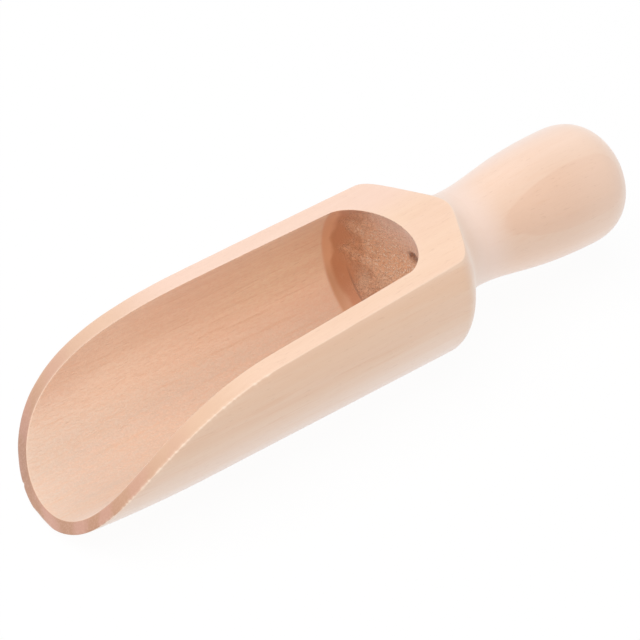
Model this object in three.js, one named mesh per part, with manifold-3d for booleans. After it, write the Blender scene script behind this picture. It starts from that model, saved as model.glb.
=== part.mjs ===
// A turned wooden scoop for dry goods such as flour, tea or bath salts.
// Three pieces: a bored cup whose upper side is cut away, a turned handle that butts
// against the cup's neck, and a fluted dowel pin glued into a socket in each of them.
// Everything is turned about one axis, which runs along X from the lip to the handle's end.

import * as THREE from 'three';
import { mergeVertices } from 'three/addons/utils/BufferGeometryUtils.js';
import Module from 'manifold-3d';

const wasm = await Module();
wasm.setup();

// Overall sizes, in millimetres. The axis runs from the lip's edge to the handle's end.
const overallLength = 120;
const handleLength = 34.5;

// Cup: a straight bore with a domed bottom, and the wood left between it and the handle.
const cupDiameter = 33.5;
const cupWall = 3.05;
const boreDome = 9.5;
const domeFullness = 1.8;
const backWall = 10;

// The outside thins towards the lip, whose foremost edge keeps a narrow blunt land.
const lipReliefLength = 25;
const lipReliefDepth = 1.2;
const lipLand = 0.3;

// The shoulder is an S-curve from the cylinder down to the neck.
const shoulderLength = 11.6;
const shoulderRounding = 4;
const neckApproach = 6.2;

// The mouth is a straight cut that climbs a little towards the handle and passes just
// above the neck. In front it bends down in one sweep to the lip.
const rimSlope = THREE.MathUtils.degToRad(3.26);
const rimAboveNeck = 0.71;
const rimFlatStart = 38;
const sweepEase = 24.2;
const lipLean = 5.35;
const lipRise = 9.8;

// Handle: narrow neck, swell where the palm closes, rounded end.
const neckDiameter = 17.7;
const swellDiameter = 22.6;
const neckEase = 7.75;
const swellEase = 14.55;
const endLength = 8.75;
const endRoundingAlong = 6.05;
const endRoundingAcross = 7.1;

// Dowel joint: wood left between the bore and the cup's socket, and the glue's room.
const dowelDiameter = 8;
const glueGap = 0.15;
const socketFloor = 3;
const handleSocketDepth = 15;
const dowelEndGap = 0.6;
const dowelChamfer = 1;
const fluteCount = 12;
const fluteRadius = 0.55;
const fluteDepth = 0.35;

// Facets of the turned surfaces.
const turnFacets = 72;
const dowelFacets = 48;
const fluteFacets = 8;

const cupRadius = cupDiameter / 2;
const boreRadius = cupRadius - cupWall;
const lipRadius = cupRadius - lipReliefDepth;
const neckRadius = neckDiameter / 2;
const swellRadius = swellDiameter / 2;
const dowelRadius = dowelDiameter / 2;
const socketRadius = dowelRadius + glueGap;
const jointX = overallLength - handleLength;
const boreBottom = jointX - backWall;
const boreStraight = boreBottom - boreDome;
const shoulderX = jointX - shoulderLength;
const swellX = overallLength - endLength;
const cupSocketX = boreBottom + socketFloor;
const handleSocketX = jointX + handleSocketDepth;

const cupWood = new THREE.MeshStandardMaterial({ color: '#e9c9ac', roughness: 0.6, metalness: 0 });
const handleWood = new THREE.MeshStandardMaterial({ color: '#edd0b4', roughness: 0.55, metalness: 0 });
const dowelWood = new THREE.MeshStandardMaterial({ color: '#dcb68f', roughness: 0.7, metalness: 0 });

// A point of a turned profile: distance along the axis, then radius.
function at(along, radius) {
  return new THREE.Vector2(along, radius);
}

function curvePoints(start, startPull, endPull, end, steps) {
  return new THREE.CubicBezierCurve(start, startPull, endPull, end).getPoints(steps);
}

// Turns a profile about the X axis. The profile starts and ends on the axis.
function turned(profile, facets) {
  const points = profile.map((p) => new THREE.Vector2(p.y, p.x));
  return new THREE.LatheGeometry(points, facets).rotateZ(-Math.PI / 2);
}

function toSolid(geometry) {
  const bare = geometry.clone();
  bare.deleteAttribute('normal');
  bare.deleteAttribute('uv');
  const merged = mergeVertices(bare, 1e-4);
  const vertProperties = new Float32Array(merged.attributes.position.array);
  const triVerts = new Uint32Array(merged.index.array);
  return new wasm.Manifold(new wasm.Mesh({ numProp: 3, vertProperties, triVerts }));
}

function toGeometry(solid) {
  const { vertProperties, triVerts } = solid.getMesh();
  const geometry = new THREE.BufferGeometry();
  geometry.setAttribute('position', new THREE.BufferAttribute(vertProperties, 3));
  geometry.setIndex(new THREE.BufferAttribute(triVerts, 1));
  geometry.computeVertexNormals();
  return geometry;
}

function named(name, geometry, material) {
  const mesh = new THREE.Mesh(geometry, material);
  mesh.name = name;
  return mesh;
}

// Bottom of the bore, as left by a round-nosed cutter: a dome a little slacker than an ellipse.
function domeProfile(steps) {
  return Array.from({ length: steps }, (_, i) => {
    const angle = (i / steps) * (Math.PI / 2);
    const radius = boreRadius * Math.sin(angle) ** (2 / domeFullness);
    return at(boreStraight + boreDome * Math.cos(angle) ** (2 / domeFullness), radius);
  });
}

function lipReliefProfile(steps) {
  const middle = at(lipReliefLength / 2, cupRadius);
  const curve = new THREE.QuadraticBezierCurve(
    at(0, lipRadius), middle, at(lipReliefLength, cupRadius));
  return curve.getPoints(steps);
}

function shoulderProfile(steps) {
  return curvePoints(
    at(shoulderX, cupRadius), at(shoulderX + shoulderRounding, cupRadius),
    at(jointX - neckApproach, neckRadius), at(jointX, neckRadius), steps);
}

// The blank as it leaves the lathe, from the bore's bottom round the lip to the socket.
function turnedCup() {
  return turned([
    ...domeProfile(10),
    at(boreStraight, boreRadius),
    at(0, boreRadius),
    ...lipReliefProfile(5),
    ...shoulderProfile(14),
    at(jointX, socketRadius),
    at(cupSocketX, socketRadius),
    at(cupSocketX, 0),
  ], turnFacets);
}

function rimHeight(along) {
  return neckRadius + rimAboveNeck - (jointX - along) * Math.tan(rimSlope);
}

// All that the mouth cut takes away, seen from the side and carried right across the cup.
function mouthCutter() {
  const over = cupRadius;
  const lipZ = -lipRadius + lipLand;
  const flatStart = at(rimFlatStart, rimHeight(rimFlatStart));
  const pull = at(-Math.cos(rimSlope), -Math.sin(rimSlope)).multiplyScalar(sweepEase);
  const sweep = curvePoints(
    at(0, lipZ), at(lipLean, lipZ + lipRise), flatStart.clone().add(pull), flatStart, 24);
  const outline = new THREE.Shape([
    at(-over, lipZ),
    ...sweep,
    at(jointX, rimHeight(jointX)),
    at(jointX, cupRadius + over),
    at(-over, cupRadius + over),
  ]);
  const depth = 2 * (cupRadius + over);
  return new THREE.ExtrudeGeometry(outline, { depth, bevelEnabled: false, steps: 1 })
    .rotateX(Math.PI / 2)
    .translate(0, depth / 2, 0);
}

function scoopCup() {
  const solid = toSolid(turnedCup()).subtract(toSolid(mouthCutter()));
  return named('scoop_cup', toGeometry(solid), cupWood);
}

function handle() {
  const swell = curvePoints(
    at(jointX, neckRadius), at(jointX + neckEase, neckRadius),
    at(swellX - swellEase, swellRadius), at(swellX, swellRadius), 14);
  const end = curvePoints(
    at(swellX, swellRadius), at(swellX + endRoundingAlong, swellRadius),
    at(overallLength, endRoundingAcross), at(overallLength, 0), 11);
  const geometry = turned([
    at(handleSocketX, 0),
    at(handleSocketX, socketRadius),
    at(jointX, socketRadius),
    ...swell,
    ...end.slice(1),
  ], turnFacets);
  return named('handle', toGeometry(toSolid(geometry)), handleWood);
}

// Hardwood pin with chamfered ends, and flutes that let trapped glue escape.
function joiningDowel() {
  const start = cupSocketX + dowelEndGap;
  const end = handleSocketX - dowelEndGap;
  let solid = toSolid(turned([
    at(start, 0),
    at(start, dowelRadius - dowelChamfer),
    at(start + dowelChamfer, dowelRadius),
    at(end - dowelChamfer, dowelRadius),
    at(end, dowelRadius - dowelChamfer),
    at(end, 0),
  ], dowelFacets));
  const fluteLength = end - start + 2 * dowelChamfer;
  const fluteCentre = dowelRadius + fluteRadius - fluteDepth;
  for (let i = 0; i < fluteCount; i += 1) {
    const flute = new THREE.CylinderGeometry(fluteRadius, fluteRadius, fluteLength, fluteFacets)
      .rotateZ(Math.PI / 2)
      .translate((start + end) / 2, fluteCentre, 0)
      .rotateX((i / fluteCount) * 2 * Math.PI);
    solid = solid.subtract(toSolid(flute));
  }
  return named('joining_dowel', toGeometry(solid), dowelWood);
}

// The scoop lies on its cup with the mouth up, and the origin is under its middle.
const scoop = new THREE.Group();
scoop.add(scoopCup(), handle(), joiningDowel());
scoop.position.set(-overallLength / 2, 0, cupRadius);
scoop.updateMatrixWorld(true);

export default scoop;
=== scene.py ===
# %% [markdown]
# A turned wooden scoop
# This lesson dresses a small scoop for dry goods: a bored cup with its upper side cut away, a
# turned handle and the dowel that joins them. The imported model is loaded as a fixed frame, and
# every new piece is made at its place in that frame, in metres, with the lip towards -X, the
# handle towards +X and the mouth up.

# %% Load the frame
import math

import bmesh
import bpy
import numpy as np
from mathutils import Matrix, Vector, noise


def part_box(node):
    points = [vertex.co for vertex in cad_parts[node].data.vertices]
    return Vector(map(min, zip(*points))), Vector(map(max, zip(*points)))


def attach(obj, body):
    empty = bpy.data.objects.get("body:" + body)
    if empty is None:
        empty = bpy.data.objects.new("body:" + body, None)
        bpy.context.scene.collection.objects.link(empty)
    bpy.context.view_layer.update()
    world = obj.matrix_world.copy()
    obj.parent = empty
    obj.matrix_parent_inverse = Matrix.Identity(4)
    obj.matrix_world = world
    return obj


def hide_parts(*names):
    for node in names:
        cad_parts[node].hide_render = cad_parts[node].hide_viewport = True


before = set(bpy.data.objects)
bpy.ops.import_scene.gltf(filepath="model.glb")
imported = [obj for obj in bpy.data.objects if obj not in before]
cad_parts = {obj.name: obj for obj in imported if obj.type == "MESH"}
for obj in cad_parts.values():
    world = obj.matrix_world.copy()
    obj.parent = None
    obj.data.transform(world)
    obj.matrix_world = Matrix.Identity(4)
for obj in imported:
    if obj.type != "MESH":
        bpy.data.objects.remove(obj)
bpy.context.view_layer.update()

MM = 0.001
cup_low, cup_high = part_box("scoop_cup")
handle_low, handle_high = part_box("handle")
dowel_low, dowel_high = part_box("joining_dowel")
print("frame nodes:", sorted(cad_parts))

# %% [markdown]
# The camera
# A product picture is taken with a long lens, from above at a slant. The camera is put on a
# sphere round the point it looks at: azimuth and elevation choose the side, and a slight roll
# matches how the scoop leans in the picture. A matrix made from these turns is easier to read
# than a list of Euler angles.

# %% Camera
AIM = Vector((-3.56, 1.27, 12.64)) * MM
CAMERA_AZIMUTH = math.radians(-35.245)
CAMERA_ELEVATION = math.radians(38.780)
CAMERA_ROLL = math.radians(-2.255)
CAMERA_DISTANCE = 312.6 * MM
LENS_MM = 103.83

camera_data = bpy.data.cameras.new("picture_camera")
camera_data.lens = LENS_MM
camera = bpy.data.objects.new("picture_camera", camera_data)
bpy.context.scene.collection.objects.link(camera)
bpy.context.scene.camera = camera
turn = (
    Matrix.Rotation(CAMERA_AZIMUTH, 4, "Z")
    @ Matrix.Rotation(math.pi / 2 - CAMERA_ELEVATION, 4, "X")
    @ Matrix.Rotation(CAMERA_ROLL, 4, "Z")
)
away = turn.to_3x3().col[2]  # a camera looks down its own -Z
camera.matrix_world = Matrix.Translation(AIM + away * CAMERA_DISTANCE) @ turn
print("camera at", [round(v / MM, 1) for v in camera.matrix_world.translation], "mm")

# %% [markdown]
# The cup's section
# Everything on the scoop was turned about one axis, so a shape is a radius at each distance
# along that axis. The distances run from the lip, in millimetres, as on a turner's drawing. The
# outside is a cylinder that thins a little to the lip and ends in an S-shaped shoulder. The bore
# is a straight hole with a domed bottom. Curve objects could draw both, but a table of points
# can be asked for the radius at any distance, so each curve is kept as a dense table for
# np.interp.

# %% Section curves
CUP_RADIUS = (cup_high.y - cup_low.y) / 2 / MM
CUP_LENGTH = (cup_high.x - cup_low.x) / MM
CUP_WALL = 3.05
BORE_RADIUS = CUP_RADIUS - CUP_WALL
DOME_DEPTH = 9.5
DOME_FULLNESS = 1.8
BACK_WALL = 10.0
BORE_BOTTOM = CUP_LENGTH - BACK_WALL
DOME_START = BORE_BOTTOM - DOME_DEPTH
LIP_RELIEF_LENGTH = 25.0
LIP_RELIEF_DEPTH = 1.2
SHOULDER_LENGTH = 11.6
SHOULDER_ROUNDING = 4.0
NECK_APPROACH = 6.2
NECK_RADIUS = 8.85
TABLE_STEPS = 600


def bezier(first, first_pull, last_pull, last):
    """Points of one cubic Bezier curve, as two arrays."""
    share = np.linspace(0, 1, TABLE_STEPS)[:, None]
    points = [np.array(p) for p in (first, first_pull, last_pull, last)]
    blend = ((1 - share) ** 3, 3 * (1 - share) ** 2 * share, 3 * (1 - share) * share**2, share**3)
    return sum(b * p for b, p in zip(blend, points)).T


shoulder_start = CUP_LENGTH - SHOULDER_LENGTH
relief_along = np.linspace(0, LIP_RELIEF_LENGTH, TABLE_STEPS)
relief_radius = CUP_RADIUS - LIP_RELIEF_DEPTH * (1 - relief_along / LIP_RELIEF_LENGTH) ** 2
shoulder_along, shoulder_radius = bezier(
    (shoulder_start, CUP_RADIUS),
    (shoulder_start + SHOULDER_ROUNDING, CUP_RADIUS),
    (CUP_LENGTH - NECK_APPROACH, NECK_RADIUS),
    (CUP_LENGTH, NECK_RADIUS),
)
OUTSIDE = (np.append(relief_along, shoulder_along), np.append(relief_radius, shoulder_radius))

dome_turn = np.linspace(math.pi / 2, 0, TABLE_STEPS)
dome_along = DOME_START + DOME_DEPTH * np.cos(dome_turn).clip(0) ** (2 / DOME_FULLNESS)
dome_radius = BORE_RADIUS * np.sin(dome_turn).clip(0) ** (2 / DOME_FULLNESS)
BORE = (np.append(0, dome_along), np.append(BORE_RADIUS, dome_radius))
print(f"cup {CUP_LENGTH:.2f} mm long, {2 * CUP_RADIUS:.2f} mm across, bore {2 * BORE_RADIUS:.2f} mm")

# %% [markdown]
# The mouth's saw cut
# The mouth is one cut across the turned blank: a straight slope that passes just above the neck
# and bends down in a sweep to the lip. A cutter mesh could take it away, but all that matters is
# how high the cut lies at each distance from the lip. So it is one more table, of heights above
# the axis, and wood is left wherever a turned surface lies lower.

# %% Mouth cut
LIP_LAND = 0.3
RIM_SLOPE = math.radians(3.26)
RIM_ABOVE_NECK = 0.71
RIM_FLAT_START = 38.0
SWEEP_EASE = 24.2
LIP_LEAN = 5.35
LIP_RISE = 9.8


def rim_height(along):
    """Height of the straight slope above the axis."""
    return NECK_RADIUS + RIM_ABOVE_NECK - (CUP_LENGTH - along) * math.tan(RIM_SLOPE)


lip_height = LIP_LAND - relief_radius[0]
sweep_along, sweep_height = bezier(
    (0, lip_height),
    (LIP_LEAN, lip_height + LIP_RISE),
    (
        RIM_FLAT_START - SWEEP_EASE * math.cos(RIM_SLOPE),
        rim_height(RIM_FLAT_START) - SWEEP_EASE * math.sin(RIM_SLOPE),
    ),
    (RIM_FLAT_START, rim_height(RIM_FLAT_START)),
)
CUT = (np.append(sweep_along, CUP_LENGTH), np.append(sweep_height, rim_height(CUP_LENGTH)))
print(f"lip {-lip_height:.2f} mm under the axis, cut {CUT[1][-1]:.2f} mm over it at the neck")

# %% [markdown]
# The two edges of the mouth
# The saw cut meets the bore in one closed edge and the outside in another. A Boolean cut would
# give them too, but with slivers along the edge that no bevel can round. So each edge is worked
# out from the section: at a distance along the axis, the cut's height says how far round the
# circle the wood reaches. Half an edge is enough, from the lip's middle at the bottom, where the
# angle is 0, to the back, where it is half a turn. The points are spaced evenly along the edge.

# %% Mouth edges
EDGE_STEPS = 380
EDGE_SAMPLES = 2400
CROSSING_SAMPLES = 24000
LIP_SAMPLES = 60


def spot(along, angle, radius):
    """A point in the cup's own millimetres: along the axis, to the side, above the axis."""
    return np.stack([along, radius * np.sin(angle), -radius * np.cos(angle)], -1)


def evenly_spaced(along, angle, radius):
    """Picks EDGE_STEPS + 1 points at equal distances along a half edge."""
    points = spot(along, angle, radius)
    run = np.append(0, np.cumsum(np.linalg.norm(np.diff(points, axis=0), axis=1)))
    wanted = np.linspace(0, run[-1], EDGE_STEPS + 1)
    angle = np.interp(wanted, run, angle)
    angle[0] = 0
    angle[-1] = math.pi
    return np.interp(wanted, run, along), angle


def half_edge(profile, front, back):
    """Where the cut meets a turned surface, dense at both ends, where the edge turns quickly."""
    share = (1 - np.cos(np.linspace(0, math.pi, EDGE_SAMPLES))) / 2
    along = front + (back - front) * share
    radius = np.interp(along, *profile)
    angle = np.arccos((-np.interp(along, *CUT) / radius).clip(-1, 1))
    return along, angle, radius


def back_crossing(profile):
    """Distance along the axis at which the turned surface dips under the cut."""
    along = np.linspace(RIM_FLAT_START, min(CUP_LENGTH, profile[0][-1]), CROSSING_SAMPLES)
    above = np.interp(along, *profile) > np.interp(along, *CUT)
    return along[np.nonzero(above)[0][-1]]


bore_front = np.interp(-BORE_RADIUS, CUT[1], CUT[0])
bore_edge = evenly_spaced(*half_edge(BORE, bore_front, back_crossing(BORE)))
outside_curve = half_edge(OUTSIDE, 0, back_crossing(OUTSIDE))
lip_angle = np.linspace(0, outside_curve[1][0], LIP_SAMPLES)[:-1]
outside_edge = evenly_spaced(
    np.append(0 * lip_angle, outside_curve[0]),
    np.append(lip_angle, outside_curve[1]),
    np.append(0 * lip_angle + relief_radius[0], outside_curve[2]),
)
print(f"bore edge from {bore_edge[0][0]:.2f} to {bore_edge[0][-1]:.2f} mm,")
print(f"outside edge from {outside_edge[0][0]:.2f} to {outside_edge[0][-1]:.2f} mm")

# %% [markdown]
# Broken places on the mouth
# The saw left torn fibres on the near outer edge of the sweep, and the far side of the lip has
# one nick. Each splinter could be cut out by hand, but all an edge needs is how much of it is
# gone at each point: noise for the fibres and a small cone for the nick. The noise.noise
# function gives the same waves on every run.

# %% Broken edge points
NEAR, FAR = -1, 1
FRAY_FROM = 3.0
FRAY_TO = 36.0
FRAY_MM = 0.45
FRAY_DEPTH = 0.11
FRAY_BASE = 0.2
FRAY_SWING = 1.6
NICK = np.array((0.9, 7.1, -13.66))
NICK_REACH = 0.55
NICK_DEPTH = 0.3


def waves(points, side, length):
    """Noise at the points of one side of the cup, with waves about so many mm long."""
    return np.array([noise.noise(Vector(p * (1, side, 1) / length)) for p in points])


def broken(corner, side):
    """How much of the outer edge is broken off at each point, in mm."""
    if side == FAR:
        return NICK_DEPTH * (1 - np.linalg.norm(corner - NICK, axis=1) / NICK_REACH).clip(0)
    along = corner[:, 0]
    zone = (along - FRAY_FROM).clip(0, 1) * (FRAY_TO - along).clip(0, 1)
    torn = (FRAY_BASE + FRAY_SWING * waves(corner, side, FRAY_MM)).clip(0, 1)
    return FRAY_DEPTH * torn * zone


bore_corner = spot(*bore_edge, np.interp(bore_edge[0], *BORE))
outside_corner = spot(*outside_edge, np.interp(outside_edge[0], *OUTSIDE))
across_rim = outside_corner - bore_corner
fray = {side: broken(outside_corner, side) for side in (NEAR, FAR)}
print("broken edge points:", {side: int((loss > 0).sum()) for side, loss in fray.items()})

# %% [markdown]
# Rounding the arrises
# No sanded edge is knife sharp: light catches a narrow rounding along it. The bevel operator
# would round it evenly, and sanding by hand doesn't. So each edge point gets a small Bezier arch
# from the turned surface to the cut, with the sharp corner as its pull, and its size wanders a
# little. Where the edge is broken, the arch grows and its pull sinks.

# %% Rounded edges
BORE_ARRIS = 0.17
OUTSIDE_ARRIS = 0.24
ARRIS_WANDER = 0.4
ARRIS_WANDER_MM = 3.0
ARRIS_ROWS = 5
SLOPE_STEP = 0.02
BACK_SHARE = 0.3
NEVER_ZERO = 1e-9


def unit(vectors):
    return vectors / np.linalg.norm(vectors, axis=-1, keepdims=True)


def arris(profile, edge, towards_cut, size, side, loss):
    """Rows of points over one rounded edge, and the surface row it starts from."""
    along, angle = edge
    corner = spot(along, angle, np.interp(along, *profile))
    run = np.gradient(corner, axis=0)
    run[0] = (0, 1, 0)
    run[-1] = (0, -1, 0)
    rise = np.interp(along + SLOPE_STEP, *profile) - np.interp(along - SLOPE_STEP, *profile)
    slope = rise / (2 * SLOPE_STEP)
    facing = np.stack([-slope, np.sin(angle), -np.cos(angle)], 1)
    down = unit(np.cross(facing, run))
    # Of the two ways off the edge, the one that goes down or back is on the wood.
    down *= np.sign(down[:, :1] * BACK_SHARE - down[:, 2:] - NEVER_ZERO)
    size = size * (1 + ARRIS_WANDER * waves(corner, side, ARRIS_WANDER_MM)) + loss
    low = corner + down * size[:, None]
    low_along = low[:, 0].clip(profile[0][0])
    low_angle = np.arctan2(abs(low[:, 1]), -low[:, 2])
    low = spot(low_along, low_angle, np.interp(low_along, *profile))
    high = corner + unit(towards_cut) * size[:, None]
    high[:, 2] = np.interp(high[:, 0], *CUT)
    pull = corner + (low / 2 + high / 2 - corner) * (loss / size)[:, None]
    share = np.linspace(0, 1, ARRIS_ROWS + 1)[None, :, None]
    rows = (1 - share) ** 2 * low[:, None] + 2 * share * (1 - share) * pull[:, None]
    rows = rows + share**2 * high[:, None]
    return rows, (low_along, low_angle)


print(f"arrises of about {BORE_ARRIS} and {OUTSIDE_ARRIS} mm, in {ARRIS_ROWS} rows each")

# %% [markdown]
# One sheet round the whole mouth
# The cup is now wrapped in one sheet of quads, as a potter would fold a slab: its columns stand
# on the mouth's edge, and its rows run from the middle of the bore, up the wall, over the inner
# arris, across the rim, over the outer arris and down the outside. Columns near the lip fan out
# from a point on the bottom line, the long sides end on that line, and the back ones end on a
# circle round the axis, where a spun cap takes over. Separate pieces for bore, rim and outside
# would have to be stitched along the mouth, where every flaw shows.

# %% Rows over bore, rim and outside
BORE_ROWS = 48
RIM_ROWS = 6
OUTSIDE_ROWS = 38
FAN_POINT = 10.0
BORE_FAN_END = 60.0
OUTSIDE_FAN_END = 72.0
CAP_RADIUS = 5.0
NECK_RING = 84.2


def surface_rows(profile, edge, start, fan_end, circle, rows):
    """Rows on a turned surface, from its rounded edge to the bottom line or the back circle.

    The circle is a distance along the outside, or a radius in the bore, which ends on the axis.
    """
    run = np.append(0, np.cumsum(np.hypot(np.diff(profile[0]), np.diff(profile[1]))))
    order = np.arange(EDGE_STEPS + 1)
    fan_from = np.searchsorted(edge[0], FAN_POINT)
    fan_to = np.searchsorted(edge[0], fan_end)
    if profile[1][-1] > 0:
        circle_run = np.interp(circle, profile[0], run)
    else:
        circle_run = np.interp(-circle, -profile[1], run)
    pole_run = np.interp(FAN_POINT, profile[0], run)
    end_run = np.interp(order, (fan_from, fan_to), (pole_run, circle_run))
    end_angle = np.interp(order, (fan_to, EDGE_STEPS), (0, math.pi))
    share = np.linspace(0, 1, rows + 1)[None, :]
    start_run = np.interp(start[0], profile[0], run)[:, None]
    place_run = start_run + (end_run[:, None] - start_run) * share
    angle = start[1][:, None] + (end_angle[:, None] - start[1][:, None]) * share
    along = np.interp(place_run, run, profile[0])
    radius = np.interp(place_run, run, profile[1])
    return spot(along, angle, radius)


def half_sheet(side):
    """All rows of one side of the cup, from the middle of the bore to the underside."""
    bore_arris, bore_start = arris(BORE, bore_edge, across_rim, BORE_ARRIS, side, 0 * fray[side])
    outside_arris, outside_start = arris(
        OUTSIDE, outside_edge, -across_rim, OUTSIDE_ARRIS, side, fray[side]
    )
    bore_rows = surface_rows(BORE, bore_edge, bore_start, BORE_FAN_END, CAP_RADIUS, BORE_ROWS)
    outside_rows = surface_rows(
        OUTSIDE, outside_edge, outside_start, OUTSIDE_FAN_END, NECK_RING, OUTSIDE_ROWS
    )
    share = np.linspace(0, 1, RIM_ROWS + 1)[None, 1:-1, None]
    rim_rows = bore_arris[:, -1:] * (1 - share) + outside_arris[:, -1:] * share
    rim_rows[..., 2] = np.interp(rim_rows[..., 0], *CUT)
    parts = [bore_rows[:, :0:-1], bore_arris, rim_rows, outside_arris[:, ::-1], outside_rows[:, 1:]]
    return np.concatenate(parts, axis=1)


half_sheets = {side: half_sheet(side) for side in (NEAR, FAR)}
cap_steps = 2 * (EDGE_STEPS - np.searchsorted(bore_edge[0], BORE_FAN_END))
neck_steps = 2 * (EDGE_STEPS - np.searchsorted(outside_edge[0], OUTSIDE_FAN_END))
ROWS = half_sheets[NEAR].shape[1] - 1
print("half sheet:", half_sheets[NEAR].shape, "cap steps", cap_steps, "neck steps", neck_steps)

# %% [markdown]
# The sheet as a mesh
# A sheet could be built face by face, but a bmesh grid already has all its faces, so each vertex
# only moves to its place. On the way it is told what it lies on: the bore, the saw cut or an
# arris, and how frayed the edge is there. The finishes read these attributes later.

# %% Mesh of the sheet
GRID_HALF = 0.5
ARRIS_SPREAD = 1.2


def in_frame(point, side=1):
    """A point of the cup's own millimetres, in the frame's metres."""
    return Vector((cup_low.x + point[0] * MM, side * point[1] * MM, (CUP_RADIUS + point[2]) * MM))


cup_mesh = bmesh.new()
bored = cup_mesh.verts.layers.float.new("bored")
sawn = cup_mesh.verts.layers.float.new("sawn")
# the arris weight: its paler coat is partly wear and partly painted highlight
arris_wear_and_highlight = cup_mesh.verts.layers.float.new("arris")
torn_edge = cup_mesh.verts.layers.float.new("frayed")
inner_middle = BORE_ROWS + ARRIS_ROWS / 2
outer_middle = inner_middle + ARRIS_ROWS + RIM_ROWS
bmesh.ops.create_grid(cup_mesh, x_segments=2 * EDGE_STEPS, y_segments=ROWS, size=GRID_HALF)
for vert in cup_mesh.verts:
    column = round((vert.co.x + GRID_HALF) * 2 * EDGE_STEPS) - EDGE_STEPS
    row = round((vert.co.y + GRID_HALF) * ROWS)
    side = FAR if column >= 0 else NEAR
    vert[bored] = float(row < inner_middle)
    vert[sawn] = float(inner_middle < row < outer_middle)
    reach = min(abs(row - inner_middle), abs(row - outer_middle)) / (ARRIS_ROWS / 2)
    vert[arris_wear_and_highlight] = min(1.0, max(0.0, ARRIS_SPREAD - reach))
    if abs(row - outer_middle) < ARRIS_ROWS:
        vert[torn_edge] = min(1.0, fray[side][abs(column)] / FRAY_DEPTH)
    vert.co = in_frame(half_sheets[side][abs(column), row], side)
print("sheet:", len(cup_mesh.verts), "vertices")

# %% [markdown]
# The bore's bottom
# Behind the sheet's circle in the bore, the dome is plain turned work again. The sheet could run
# on to the axis, but its columns would crowd there, so a short profile is spun to close the dome.
# The spin takes as many steps as the sheet has columns at the circle, so the vertices meet. The
# tip of the boring cutter tore a small pit near the centre.

# %% Spun cap
CAP_RINGS = 18
PIT_RADIUS = 1.3
PIT_DEPTH = 0.5
PIT_ASIDE = -0.5
PIT_ABOVE_AXIS = 1.1
PIT_RAGGED = 0.35
PIT_RAGGED_PER_MM = 1.1
PIT_LUMPS = 0.5
PIT_LUMPS_PER_MM = 2.3


def spun(mesh, profile, steps):
    """Spins (along, radius) points about the axis and returns the new vertices."""
    before = set(mesh.verts)
    chain = [mesh.verts.new(in_frame((along, 0, -radius))) for along, radius in profile]
    edges = [mesh.edges.new(pair) for pair in zip(chain, chain[1:])]
    bmesh.ops.spin(
        mesh,
        geom=chain + edges,
        cent=(0, 0, CUP_RADIUS * MM),
        axis=(1, 0, 0),
        angle=2 * math.pi,
        steps=steps,
        use_merge=True,
    )
    return [v for v in mesh.verts if v not in before]


cap_radius = np.linspace(CAP_RADIUS, 0, CAP_RINGS + 1)
cap_along = np.interp(-cap_radius, -BORE[1], BORE[0])
cap = spun(cup_mesh, list(zip(cap_along, cap_radius)), cap_steps)
pit_centre = in_frame((BORE_BOTTOM, PIT_ASIDE, PIT_ABOVE_AXIS))
for vert in cap:
    vert[bored] = 1.0
    apart = math.hypot(vert.co.y - pit_centre.y, vert.co.z - pit_centre.z) / MM
    ragged = PIT_RADIUS * (1 + PIT_RAGGED * noise.noise(vert.co / MM * PIT_RAGGED_PER_MM))
    depth = max(0.0, 1 - (apart / ragged) ** 2)
    lumps = 1 + PIT_LUMPS * noise.noise(vert.co / MM * PIT_LUMPS_PER_MM)
    vert.co.x += PIT_DEPTH * MM * depth * lumps
print("cap:", len(cap), "vertices")

# %% [markdown]
# The neck and its socket
# Behind the sheet's circle on the outside come the end of the neck, its flat joint face and the
# dowel's socket. A Boolean could drill the socket, but a profile that turns inwards gives the
# same hole with clean faces, in one spin. Vertices that meet are then merged, and no edge may
# stay open.

# %% Spun neck
NECK_POINTS = 5
GLUE_GAP = 0.15
SOCKET_FLOOR = 3.0
WELD = 0.004 * MM

socket_radius = (dowel_high.y - dowel_low.y) / 2 / MM + GLUE_GAP
socket_end = BORE_BOTTOM + SOCKET_FLOOR
neck_along = np.linspace(NECK_RING, CUP_LENGTH, NECK_POINTS)
neck_profile = list(zip(neck_along, np.interp(neck_along, *OUTSIDE)))
neck_profile += [(CUP_LENGTH, socket_radius), (socket_end, socket_radius), (socket_end, 0)]
spun(cup_mesh, neck_profile, neck_steps)
bmesh.ops.remove_doubles(cup_mesh, verts=cup_mesh.verts, dist=WELD)
bmesh.ops.recalc_face_normals(cup_mesh, faces=cup_mesh.faces)
open_edges = [e for e in cup_mesh.edges if len(e.link_faces) != 2]
print("cup:", len(cup_mesh.faces), "faces,", len(open_edges), "open edges")


def finished(mesh, name, node):
    """Makes a piece from a bmesh, shaded smooth, that stands for a CAD node."""
    data = bpy.data.meshes.new(name)
    mesh.to_mesh(data)
    mesh.free()
    data.shade_smooth()
    piece = bpy.data.objects.new(name, data)
    bpy.context.scene.collection.objects.link(piece)
    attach(piece, "root")
    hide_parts(node)
    return piece


cup = finished(cup_mesh, "bored_cup", "scoop_cup")

# %% [markdown]
# The handle
# A handle is the simplest lathe job there is: a waist that swells to fill the palm and rounds
# over at the end. A stretched sphere could be pushed into this shape, but a profile keeps the
# waist, the swell and the end as sizes. Two Bezier curves draw half of it, and a spin turns
# them. The dowel's socket is part of the same profile.

# %% Handle
SWELL_RADIUS = (handle_high.y - handle_low.y) / 2 / MM
OVERALL_LENGTH = (handle_high.x - cup_low.x) / MM
NECK_EASE = 7.75
SWELL_EASE = 14.55
END_LENGTH = 8.75
END_ROUNDING_ALONG = 6.05
END_ROUNDING_ACROSS = 7.1
DOWEL_END_GAP = 0.6
SWELL_RINGS = 44
END_RINGS = 30

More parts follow.
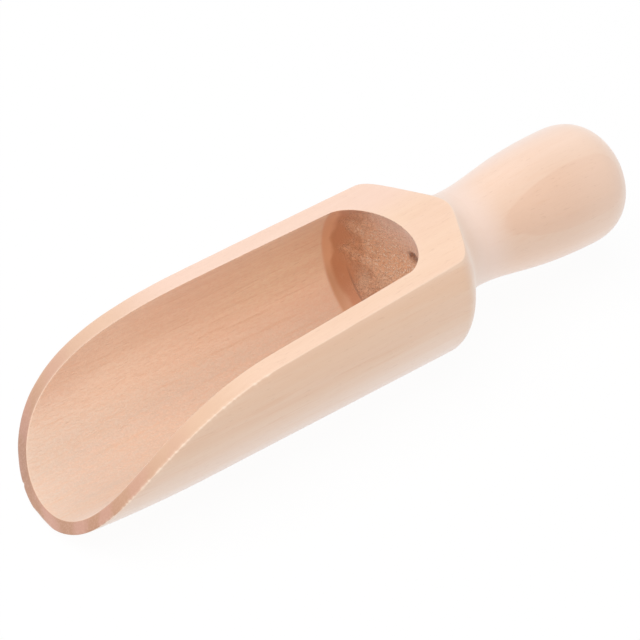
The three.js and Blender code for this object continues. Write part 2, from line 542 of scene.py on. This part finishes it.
swell_along = OVERALL_LENGTH - END_LENGTH
waist = bezier(
    (CUP_LENGTH, NECK_RADIUS),
    (CUP_LENGTH + NECK_EASE, NECK_RADIUS),
    (swell_along - SWELL_EASE, SWELL_RADIUS),
    (swell_along, SWELL_RADIUS),
)
rounded_end = bezier(
    (swell_along, SWELL_RADIUS),
    (swell_along + END_ROUNDING_ALONG, SWELL_RADIUS),
    (OVERALL_LENGTH, END_ROUNDING_ACROSS),
    (OVERALL_LENGTH, 0),
)


def every_few(curve, count):
    """A few points of a dense curve, evenly spread in its own share."""
    picks = np.linspace(0, TABLE_STEPS - 1, count + 1).round().astype(int)
    return [(curve[0][i], curve[1][i]) for i in picks]


handle_socket = (dowel_high.x - cup_low.x) / MM + DOWEL_END_GAP
handle_profile = [(handle_socket, 0), (handle_socket, socket_radius), (CUP_LENGTH, socket_radius)]
handle_profile += every_few(waist, SWELL_RINGS) + every_few(rounded_end, END_RINGS)[1:]
handle_mesh = bmesh.new()
spun(handle_mesh, handle_profile, neck_steps)
bmesh.ops.remove_doubles(handle_mesh, verts=handle_mesh.verts, dist=WELD)
bmesh.ops.recalc_face_normals(handle_mesh, faces=handle_mesh.faces)
print("handle:", len(handle_mesh.faces), "faces")
handle = finished(handle_mesh, "turned_handle", "handle")

# %% [markdown]
# Sharp edges on smooth pieces
# Smooth shading would smear the flat joint face into the neck. The mesh could be split there,
# but that would open it. Marking edges by their angle keeps the corners crisp, and everything
# that was sanded round stays soft.

# %% Mark the crisp edges
CRISP_ANGLE = math.radians(35)
for piece in (cup, handle):
    piece.data.set_sharp_from_angle(angle=CRISP_ANGLE)
    print(piece.name, "has", sum(e.use_edge_sharp for e in piece.data.edges), "crisp edges")

# %% [markdown]
# Colours and nodes
# Colours are written as they look on a screen, in sRGB hex, and Blender wants linear values, so
# one function turns them over. Nodes could be placed and wired by hand in the Shader Editor. In
# a script, one function adds a node with its settings and links, and gives back an output to
# link on, so that a chain of nodes reads like a sum.

# %% Colour and node helpers
def linear(hex_colour):
    """An sRGB hex colour as Blender's linear RGBA, by the formula of the sRGB standard."""
    parts = [int(hex_colour[i : i + 2], 16) / 255 for i in (1, 3, 5)]
    return (*[p / 12.92 if p <= 0.04045 else ((p + 0.055) / 1.055) ** 2.4 for p in parts], 1.0)


def put(tree, kind, sockets=None, out=0, **settings):
    """Adds one node and gives an output. A socket takes a number, a colour or another output."""
    made = tree.nodes.new("ShaderNode" + kind)
    for name, value in settings.items():
        setattr(made, name, value)
    for key, value in (sockets or {}).items():
        if isinstance(value, bpy.types.NodeSocket):
            tree.links.new(value, made.inputs[key])
        else:
            made.inputs[key].default_value = value
    return made.outputs[out] if len(made.outputs) else None


print("#808080 in linear light is", round(linear("#808080")[0], 3))

# %% [markdown]
# Coats, heaps and masks
# A finish could be one long chain of nodes, but it is easier to follow as a painter's list: a
# ground colour, and coats over it that each show only where their own patterns let them.
# Roughness and bump are heaps of patterns with weights. A mask rises softly from 0 to 1 between
# two places, so a table of such places draws them all. The Mix node holds sockets for numbers,
# vectors and colours at once, so its colour sockets are found by their place.

# %% Coats, heaps and masks
MIX_GROUND = 6
MIX_COAT = 7
MIX_RESULT = 2
SOFT_STEP = {"interpolation_type": "SMOOTHSTEP"}
TIMES = {"operation": "MULTIPLY"}
TIMES_PLUS = {"operation": "MULTIPLY_ADD"}
LESS = {"operation": "SUBTRACT"}


def shared(tree, *patterns):
    """Where all the patterns are, which is their product."""
    total = patterns[0]
    for pattern in patterns[1:]:
        total = put(tree, "Math", {0: total, 1: pattern}, **TIMES)
    return total


def painted(tree, ground, coats):
    """Lays coats of colour over a ground: each has its strength, its colour and its patterns."""
    colour = linear(ground)
    for strength, hex_colour, *patterns in coats:
        sockets = {0: shared(tree, *patterns, strength), MIX_GROUND: colour}
        sockets[MIX_COAT] = linear(hex_colour)
        colour = put(tree, "Mix", sockets, out=MIX_RESULT, data_type="RGBA")
    return colour


def heaped(tree, ground, layers):
    """Adds up patterns times their weights, for roughness, a place or bump in millimetres."""
    total = ground
    for weight, *patterns in layers:
        sockets = {0: shared(tree, *patterns), 1: weight, 2: total}
        total = put(tree, "Math", sockets, **TIMES_PLUS)
    return total


def masked(tree, measures, table):
    """Soft masks by name. The table gives what each one reads, its start and where it is full."""
    masks = {}
    for name, (measure, start, full) in table.items():
        sockets = {"Value": measures[measure], "From Min": start, "From Max": full}
        masks[name] = put(tree, "MapRange", sockets, **SOFT_STEP)
    return masks


# %% [markdown]
# The grain of birch
# Birch is a pale, close-grained hardwood: faint growth rings, soft streaks and very fine fibres
# along the axis, and a few short brown flecks. A flat picture of a board, wrapped round the cup,
# would break at every edge. In a solid block these are patterns in space, so a turned surface
# cuts through them by itself, and rings come out as flames on a bulge and as bands on an edge.
# The patterns therefore read Object coordinates, turned into millimetres from the lip and from
# the axis, with the rings stacked along one direction. Real fibres are a fiftieth of a
# millimetre wide and would be lost in the picture, so they are drawn about ten times as coarse.

# %% Patterns in a block
# Each pattern: length along the grain and width across it in mm, then where it starts and is full.
PATTERNS = {
    "band": (60.0, 3.6, 0.4, 0.62),
    "streak": (34.0, 1.5, 0.38, 0.66),
    "vein": (13.0, 0.6, 0.58, 0.72),
    "fibre": (8.0, 0.26, 0.42, 0.7),
    "dash": (1.6, 0.26, 0.6, 0.74),
    "felt": (0.9, 0.3, 0.4, 0.64),
    "cloud": (5.5, 5.5, 0.3, 0.7),
    "blotch": (2.6, 2.6, 0.3, 0.7),
    "grit": (0.32, 0.32, 0.47, 0.62),
    "pore": (0.5, 0.5, 0.5, 0.66),
}
DRIFT = (48.0, 9.0, 0.0, 1.0)
NOISE_DETAIL = 3.0
MIDDLE = 0.5


def drawn_out(tree, block, length, width, low, high):
    """Soft-edged lumps, about so long along the grain and so wide across it, in mm."""
    stretch = (1 / length, 1 / width, 1 / width)
    place = put(tree, "VectorMath", {0: block, 1: stretch}, **TIMES)
    lumps = put(tree, "TexNoise", {"Vector": place, "Scale": 1.0, "Detail": NOISE_DETAIL})
    return put(tree, "MapRange", {"Value": lumps, "From Min": low, "From Max": high}, **SOFT_STEP)


def grain(tree, turn, slant, gap, start, drift, fringe):
    """Patterns of one block of wood by name, from 0 to 1, and its places in millimetres."""
    place = put(tree, "TexCoord", out="Object")
    sockets = {
        "Vector": place,
        "Location": (-cup_low.x / MM, -CUP_RADIUS * math.sin(turn), -CUP_RADIUS * math.cos(turn)),
        "Rotation": (-turn, 0, slant),
        "Scale": (1 / MM, 1 / MM, 1 / MM),
    }
    block = put(tree, "Mapping", sockets)
    grains = {name: drawn_out(tree, block, *sizes) for name, sizes in PATTERNS.items()}
    height = put(tree, "SeparateXYZ", {0: place}, out="Z")
    aside = put(tree, "SeparateXYZ", {0: place}, out="Y")
    facing = put(tree, "SeparateXYZ", {0: put(tree, "TexCoord", out="Normal")}, out="X")
    depth = put(tree, "SeparateXYZ", {0: block}, out="Y")
    shifts = [(drift, drawn_out(tree, block, *DRIFT)), (fringe, grains["streak"])]
    first = -(start + drift / 2 + fringe / 2) / gap
    sockets = {0: heaped(tree, depth, shifts), 1: 1 / gap, 2: first}
    count = put(tree, "Math", sockets, **TIMES_PLUS)
    grains["place"] = place
    grains["along"] = put(tree, "SeparateXYZ", {0: block}, out="X")
    grains["above"] = put(tree, "Math", {0: height, 1: 1 / MM, 2: -CUP_RADIUS}, **TIMES_PLUS)
    grains["aside"] = put(tree, "Math", {0: aside, 1: 1 / MM}, **TIMES)
    grains["end"] = put(tree, "Math", {0: facing}, operation="ABSOLUTE")
    grains["ring"] = put(tree, "Math", {0: count}, operation="FRACT")
    grains["wave"] = put(tree, "Math", {0: count, 1: MIDDLE}, operation="PINGPONG")
    return grains


print("patterns in a block:", ", ".join(PATTERNS))

# %% [markdown]
# How wood takes the light
# Bare sanded wood is matt, but not dead: raised fibres catch light that grazes them, which the
# sheen gives, and the burnished surface has a soft, wide gloss. A lower roughness would give a
# gloss too, but a coat keeps its own roughness where the wood's changes, so a rough coat is used.
# Both stay constant, and each finish below brings its own colour, roughness and bump.

# %% Wood material
GLOSS = {"IOR": 1.5, "Coat Weight": 0.8, "Coat Roughness": 0.5, "Sheen Weight": 0.5}


def wood_material(name, finish, rings):
    """A wood material. The finish gives colour, roughness and bump from the block's grain."""
    made = bpy.data.materials.new(name)
    made.use_nodes = True
    tree = made.node_tree
    surface = tree.nodes["Principled BSDF"]
    colour, roughness, height = finish(tree, grain(tree, **rings))
    bump = put(tree, "Bump", {"Height": height, "Strength": 1.0, "Distance": MM})
    tree.links.new(colour, surface.inputs["Base Color"])
    tree.links.new(roughness, surface.inputs["Roughness"])
    tree.links.new(bump, surface.inputs["Normal"])
    for socket, value in GLOSS.items():
        surface.inputs[socket].default_value = value
    print(name, "has", len(tree.nodes), "nodes")
    return made


# %% [markdown]
# Places on the cup
# The cup is one piece of wood whose surfaces were made in different ways. The outside and the rim
# were sanded and are pale and silky. The mouth's sweep runs across the fibres towards the lip,
# and such end grain drinks light and looks darker and pinker. The bore's wall keeps a felt of
# short fibres from the cutter. A material for each surface would leave hard seams between them,
# so one material has masks with soft borders. Attributes of the mesh say where the bore, the saw
# cut and the arrises are, and the rest follows from places in millimetres.

# %% Masks for the cup
MESH_MARKS = ("bored", "sawn", "arris", "frayed")
END_GRAIN = {"From Min": 0.32, "From Max": 0.85}
CUP_MASKS = {
    "pink": ("wave", 0.12, 0.38),
    "sweep": ("end", 0.06, 0.32),
    # far, on the land, and neck mark where a painted sheen makes the wood paler
    "far": ("aside", 1.0, 10.0),
    "lip": ("above", -3.0, -9.0),
    "neck": ("along", 79.0, 84.5),
    # under: paler towards the underside, a painted light standing in for light thrown up from the
    # floor
    "under": ("above", 0.0, -10.0),
    "wall_bottom": ("above", -6.0, -13.3),
    "wall_back": ("along", -14.0, 12.0),
    # inner and fore: the wall paler deeper in and pinker at the front, partly the wood's tone,
    # partly painted light
    "inner": ("along", 36.0, 58.0),
    "fore": ("along", 24.0, 8.0),
}


def cup_places(tree, grains):
    """Masks from 0 to 1 for the outside, the saw cut and the bore's wall."""
    marks = {name: put(tree, "Attribute", attribute_name=name, out="Fac") for name in MESH_MARKS}
    sawn = marks["sawn"]
    masks = masked(tree, grains, CUP_MASKS)
    bare = put(tree, "Math", {0: 1.0, 1: sawn}, **LESS)
    outer = put(tree, "Math", {0: bare, 1: marks["bored"]}, use_clamp=True, **LESS)
    end = put(tree, "MapRange", {"Value": grains["end"], **END_GRAIN})
    return {
        **marks,
        **masks,
        "bare": bare,
        "outer": outer,
        "end": shared(tree, end, sawn),
        "sweep": shared(tree, masks["sweep"], sawn),
        # the land's far side and the neck carry painted sheen
        "far": shared(tree, masks["far"], sawn),
        "neck": shared(tree, masks["neck"], outer),
        # the outside made paler towards its underside is painted light
        "under": shared(tree, masks["under"], outer),
        "bottom": shared(tree, masks["wall_bottom"], masks["wall_back"]),
        "high": put(tree, "Math", {0: 1.0, 1: masks["lip"]}, **LESS),
    }


print("masks for the cup:", ", ".join(MESH_MARKS + tuple(CUP_MASKS)))

# %% [markdown]
# Places in the dome
# The bore's domed bottom is rough end grain: a smooth band, a ring that the cutter burnished
# brown, a fine scored line, then torn, speckled wood with a dark pit. Plain rings would look
# painted on, so these borders are measured in depths that noise has shifted, one in slow waves
# and one raggedly.

# %% Masks in the dome
RAGGED_MM = 2.6
WAVY_MM = 1.0
SCORE = DOME_START + 3.8
SCORE_WIDTH = 0.12
PIT_SHAPE = (0.0, 0.75 / MM, 1.1 / MM)
PIT_FRAYED = 0.5
DOME_MASKS = {
    "edge": ("along", DOME_START - 0.2, DOME_START + 0.6),
    "burnt_from": ("wavy", DOME_START + 1.4, DOME_START + 2.4),
    "burnt_to": ("ragged", DOME_START + 7.0, DOME_START + 3.0),
    "torn": ("ragged", DOME_START + 2.6, DOME_START + 5.0),
    "low": ("above", -2.0, -8.0),
    # torn_top: paler towards the top of the dome, partly pale fuzz of torn fibres and partly painted
    # light
    "torn_top": ("above", -2.0, 7.0),
    "torn_middle": ("aside", 10.0, 4.0),
    "speckled_up": ("above", -8.0, -3.0),
    "speckled_in": ("ragged", DOME_START + 4.6, DOME_START + 8.0),
    "score_low": ("above", -4.0, -7.0),
    "pit": ("from_pit", 1.7, 0.7),
}


def dome_places(tree, grains, bored):
    """Masks from 0 to 1 for the bore's domed bottom, and for the wall in front of it."""
    along = grains["along"]
    offset = put(tree, "VectorMath", {0: grains["place"], 1: pit_centre}, **LESS)
    offset = put(tree, "VectorMath", {0: offset, 1: PIT_SHAPE}, **TIMES)
    apart = put(tree, "VectorMath", {0: offset}, out="Value", operation="LENGTH")
    measures = {
        **grains,
        "ragged": heaped(tree, along, [(RAGGED_MM, grains["blotch"]), (-RAGGED_MM, MIDDLE)]),
        "wavy": heaped(tree, along, [(WAVY_MM, grains["cloud"]), (-WAVY_MM, MIDDLE)]),
        "from_pit": heaped(tree, apart, [(PIT_FRAYED, grains["pore"])]),
    }
    masks = masked(tree, measures, DOME_MASKS)
    dome = shared(tree, bored, masks["edge"])
    torn = shared(tree, masks["torn"], dome)
    score = put(tree, "Math", {0: along, 1: SCORE, 2: SCORE_WIDTH}, operation="COMPARE")
    return {
        "dome": dome,
        "wall": put(tree, "Math", {0: bored, 1: dome}, **LESS),
        "torn": torn,
        "smooth": put(tree, "Math", {0: dome, 1: torn}, use_clamp=True, **LESS),
        "low": masks["low"],
        # top: paler high in the dome, partly painted light near the opening
        "top": shared(tree, masks["torn_top"], masks["torn_middle"]),
        "burnt": shared(tree, masks["burnt_from"], masks["burnt_to"], dome),
        "speckled": shared(tree, masks["speckled_up"], masks["speckled_in"]),
        "score": shared(tree, score, masks["score_low"], dome),
        "pit": shared(tree, masks["pit"], dome),
    }


print(f"dome from {DOME_START:.1f} to {BORE_BOTTOM:.1f} mm, scored at {SCORE:.1f} mm")

# %% [markdown]
# The cup's birch
# The coats follow the wood. The broad tones of the bore's wall, the land and the outside come
# first, then the grain that runs through the whole block, so that it shows on all of them. What
# the saw and the cutter did to the lip and the dome comes over the grain, and the worn and broken
# edges come last. Some coats are painted light and shade: the wall is partly painted paler
# deeper in the bore, the neck, the land's far side and the underside are paler as painted sheen
# and light, the top of the torn dome is partly painted paler, and the edges' pale wear is partly
# painted highlight. The bored wood is the roughest, and bump lifts the specks of the torn wood.
# Felt and grit are finer than the picture shows, so both are drawn a few times as coarse.

# %% Cup material
CUP_RINGS = {
    "turn": math.radians(117),
    "slant": 0,
    "gap": 5.2,
    "start": -9.4,
    "drift": 4.0,
    "fringe": 0.3,
}
CUP_ROUGHNESS = 0.48
BIRCH_FIBRE_BUMP = -0.008
BIRCH_FLECK_BUMP = -0.012


def cup_finish(tree, grains):
    """The cup's colour, its roughness and its bump in millimetres."""
    at = cup_places(tree, grains)
    at.update(dome_places(tree, grains, at["bored"]))
    coats = [
        (0.25, "#EFC6AE", at["pink"]),
        # the bore's wall
        (0.8, "#FEDDC2", at["wall"]),
        (0.88, "#CBAF99", at["wall"], at["bottom"]),
        # paler deeper in the bore, darker and pinker at the front: partly the wood's own tone,
        # partly painted light that evens out the bore's shade
        (0.7, "#FFE5C4", at["wall"], at["inner"], at["high"]),
        (0.55, "#E9B79C", at["wall"], at["fore"], at["high"]),
        (0.2, "#CFBDB2", at["wall"], at["fore"], at["lip"]),
        (0.14, "#F3C2A3", at["wall"], grains["band"]),
        # the land and the outside
        (0.12, "#E6BA96", at["sawn"]),
        (0.55, "#DBB190", at["outer"]),
        (0.25, "#F0DAC6", at["outer"], grains["band"]),
        # painted light: the outside is made paler towards its underside, as if lit from the floor
        (0.55, "#F1DCD0", at["under"]),
        # grain through the block, and felt on the wall
        (0.2, "#E6BA97", grains["streak"]),
        (0.1, "#E0AC82", grains["vein"]),
        (0.22, "#DCA67C", at["bare"], grains["vein"]),
        (0.06, "#D3A07A", grains["fibre"]),
        (0.2, "#B98460", grains["dash"]),
        (0.22, "#EBB08C", at["wall"], grains["felt"]),
        (0.1, "#FFEBDC", at["wall"], grains["grit"]),
        # the neck and the land's far side, made paler as painted sheen, and end grain down to the
        # lip
        (0.8, "#EFD4C5", at["neck"]),
        (0.35, "#F2D3CB", at["far"]),
        (0.75, "#D9AE8C", at["sweep"]),
        (1.0, "#B07853", at["end"]),
        (0.65, "#CA927E", at["end"], at["pink"]),
        (0.4, "#94644F", at["end"], at["far"], at["lip"]),
        (0.2, "#DDB298", at["end"], grains["grit"]),
        # the dome
        (1.0, "#E9B48B", at["dome"]),
        (0.85, "#EBB78E", at["torn"]),
        (0.25, "#B68561", at["dome"], at["low"]),
        (0.45, "#B27A55", at["smooth"], at["low"]),
        (0.4, "#D9B79C", at["torn"], at["low"]),
        # paler towards the top of the torn dome: partly pale fuzz, partly painted light
        (0.75, "#FCD8C5", at["torn"], at["top"]),
        (0.7, "#B8703F", at["burnt"]),
        (0.18, "#A8735A", at["torn"], grains["pore"]),
        (0.8, "#FFE6D0", at["torn"], at["speckled"], grains["grit"]),
        (0.4, "#85543A", at["score"]),
        (0.8, "#8A5234", at["pit"]),
        # worn and broken edges, their pale coat partly wear and partly painted highlight
        (0.35, "#FFE7D2", at["arris"], at["high"]),
        (0.5, "#FFEBD6", at["arris"], at["frayed"]),
    ]
    rough = [(0.15, at["bored"]), (0.08, grains["fibre"]), (-0.06, at["arris"])]
    heights = [
        (BIRCH_FIBRE_BUMP, grains["fibre"]),
        (BIRCH_FLECK_BUMP, grains["dash"]),
        (-0.02, at["wall"], grains["felt"]),
        (0.11, at["torn"], grains["grit"]),
        (-0.1, at["torn"], grains["pore"]),
        (-0.08, at["score"]),
    ]
    colour = painted(tree, "#F2CEB2", coats)
    return colour, heaped(tree, CUP_ROUGHNESS, rough), heaped(tree, 0.0, heights)


cup.data.materials.append(wood_material("birch_bored_and_sanded", cup_finish, CUP_RINGS))

# %% [markdown]
# The handle's birch
# The handle is turned from another stick, whose rings lie at a slant to its axis. A ring starts
# dark at a soft edge, and where the swell cuts through it, that edge opens into a flame. The
# flame could be painted on, but then it wouldn't run on round the back. The handle is sanded
# best, so it is the smoothest, and its end shows open end grain. Its neck is the palest and its
# far side is pale: that is painted sheen. Its lower side and its rings' dark late wood also
# carry painted shade.

# %% Handle material
HANDLE_RINGS = {
    "turn": math.radians(147),
    "slant": math.radians(-2.75),
    "gap": 14.0,
    "start": 7.5,
    "drift": 0.4,
    "fringe": 0.1,
}
HANDLE_ROUGHNESS = 0.44
HANDLE_MASKS = {
    "flame_edge": ("ring", 0.0, 0.012),
    "flame_fade": ("ring", 0.6, 0.1),
    "flame_foot": ("above", -1.0, 2.5),
    # late: the rings' dark late wood, partly real grain and partly painted shade on the handle
    "late": ("wave", 0.28, 0.0),
    # under: darker below, where the flame's ring fades out and painted shade falls
    "under": ("above", 10.0, 2.0),
    # far and neck: where a painted sheen makes the handle paler
    "far": ("aside", 1.0, 6.0),
    "tip": ("along", 102.0, 114.0),
    "end": ("end", 0.4, 1.0),
    "neck": ("along", 93.0, 86.0),
}


def handle_finish(tree, grains):
    """The handle's colour, its roughness and its bump in millimetres."""
    at = masked(tree, grains, HANDLE_MASKS)
    coats = [
        # darker towards the lower side: the flame's ring fading out, and painted shade
        (0.2, "#E1BDA6", at["under"]),
        # the rings' darker late wood, which partly stands in for painted shade
        (0.5, "#DEBA9F", at["late"]),
        (0.42, "#DDAF91", at["flame_edge"], at["flame_fade"], at["flame_foot"]),
        (0.2, "#EBC2A5", grains["streak"]),
        (0.14, "#DDA97F", grains["vein"]),
        (0.06, "#D8A680", grains["fibre"]),
        (0.2, "#BC8866", grains["dash"]),
        (0.3, "#F2D6C3", at["tip"]),
        (0.45, "#D9AC8C", at["end"]),
        (0.25, "#B98A68", at["end"], grains["pore"]),
        # painted sheen: paler on the far side and on the neck
        (0.45, "#F6DBCE", at["far"]),
        (0.8, "#EFD4C5", at["neck"]),
    ]
    rough = [(0.08, grains["fibre"])]
    heights = [(BIRCH_FIBRE_BUMP, grains["fibre"]), (BIRCH_FLECK_BUMP, grains["dash"])]
    colour = painted(tree, "#F1CFB8", coats)
    return colour, heaped(tree, HANDLE_ROUGHNESS, rough), heaped(tree, 0.0, heights)


handle.data.materials.append(wood_material("birch_turned_and_sanded", handle_finish, HANDLE_RINGS))

# %% [markdown]
# The dowel's beech
# The dowel is bought by the metre, drawn through a fluted die and left unsanded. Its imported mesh
# already has the flutes and chamfers, so it is kept and only gets a finish. It stays hidden in
# its sockets, but a part is looked at from all sides and taken apart, so its wood is browner and
# duller, with closely packed fibres, beech's dark flecks and open end grain.

# %% Dowel material
DOWEL_RINGS = {
    "turn": math.radians(60),
    "slant": 0,
    "gap": 2.2,
    "start": 0.4,
    "drift": 1.0,
    "fringe": 0.3,
}
DOWEL_ROUGHNESS = 0.62
DOWEL_MASKS = {"late": ("ring", 0.5, 0.95), "end": ("end", 0.5, 0.95)}


def dowel_finish(tree, grains):
    """The dowel's colour, its roughness and its bump in millimetres."""
    at = masked(tree, grains, DOWEL_MASKS)
    coats = [
        (0.4, "#CF9F72", at["late"]),
        (0.35, "#D2A67C", grains["streak"]),
        (0.3, "#B98A60", grains["fibre"]),
        (0.5, "#8E623F", grains["dash"]),
        (0.6, "#B98C63", at["end"]),
    ]
    rough = [(0.1, grains["fibre"])]
    heights = [(-0.025, grains["fibre"]), (-0.02, grains["dash"])]
    colour = painted(tree, "#E2BD93", coats)
    return colour, heaped(tree, DOWEL_ROUGHNESS, rough), heaped(tree, 0.0, heights)


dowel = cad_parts["joining_dowel"]
dowel.data.materials.clear()
dowel.data.materials.append(wood_material("beech_dowel_rod", dowel_finish, DOWEL_RINGS))

# %% [markdown]
# Paper floor
# The scoop lies on matt white paper, which throws light back up at it. A plain white floor looks
# grey in soft light, and more light on it would bleach the wood. So the paper glows white by
# itself. Where it is looked at, straight or in a gloss, Light Path leaves a small share of plain
# paper in it, which keeps the scoop's faint shadow.

# %% Floor
FLOOR_SIZE = 4.0
FLOOR_LIFT = 0.93
FLOOR_GLOW = 1.0


def looked_at(tree):
    """1 for what the camera sees, straight or in a gloss or through glass, and 0 for light."""
    seen = 0.0
    for ray in ("Is Camera Ray", "Is Glossy Ray", "Is Transmission Ray"):
        hit = put(tree, "LightPath", out=ray)
        seen = put(tree, "Math", {0: seen, 1: hit}, operation="MAXIMUM")
    return seen


floor_mesh = bmesh.new()
bmesh.ops.create_grid(floor_mesh, x_segments=1, y_segments=1, size=FLOOR_SIZE / 2)
floor_data = bpy.data.meshes.new("studio_floor")
floor_mesh.to_mesh(floor_data)
floor_mesh.free()
floor = bpy.data.objects.new("studio_floor", floor_data)
bpy.context.scene.collection.objects.link(floor)

floor_paint = bpy.data.materials.new("matt_white_paper")
floor_paint.use_nodes = True
tree = floor_paint.node_tree
tree.nodes.clear()
sockets = {"Value": looked_at(tree), "To Min": FLOOR_GLOW, "To Max": FLOOR_LIFT}
lift = put(tree, "MapRange", sockets)
paper = put(tree, "BsdfDiffuse", {"Color": linear("#F7F7F7")})
glow = put(tree, "Emission", {"Color": linear("#FFFFFF"), "Strength": 1.0})
both = put(tree, "MixShader", {0: lift, 1: paper, 2: glow})
put(tree, "OutputMaterial", {"Surface": both})
floor_data.materials.append(floor_paint)
print("floor:", FLOOR_SIZE, "m wide")

# %% [markdown]
# Light from all round
# The picture was lit softly from every side. Small lamps would draw bright stripes along turned
# wood, so a white world lights it evenly, and one large softbox overhead makes the upper faces a
# little brighter than the sides. The world is plain white where it is looked at. The Standard
# view shows colours about as they are written.

# %% Softbox and world
WORLD_STRENGTH = 0.62
SOFTBOX_SIZE = 1.3
SOFTBOX_HEIGHT = 1.15
SOFTBOX_LEFT = -0.4
SOFTBOX_WATTS = 10.2

softbox_data = bpy.data.lights.new("softbox", "AREA")
softbox_data.shape = "SQUARE"
softbox_data.size = SOFTBOX_SIZE
softbox_data.energy = SOFTBOX_WATTS
softbox = bpy.data.objects.new("softbox", softbox_data)
softbox.location = (SOFTBOX_LEFT, 0, SOFTBOX_HEIGHT)
softbox.rotation_euler = (0, math.atan2(SOFTBOX_LEFT, SOFTBOX_HEIGHT), 0)
bpy.context.scene.collection.objects.link(softbox)

world = bpy.data.worlds.new("white_studio")
bpy.context.scene.world = world
world.use_nodes = True
tree = world.node_tree
tree.nodes.clear()
sockets = {"Value": looked_at(tree), "To Min": WORLD_STRENGTH, "To Max": 1.0}
level = put(tree, "MapRange", sockets)
sky = put(tree, "Background", {"Color": linear("#FFFFFF"), "Strength": level})
put(tree, "OutputWorld", {"Surface": sky})
bpy.context.scene.view_settings.view_transform = "Standard"
print("softbox:", SOFTBOX_SIZE, "m wide,", SOFTBOX_WATTS, "W, world at", WORLD_STRENGTH)
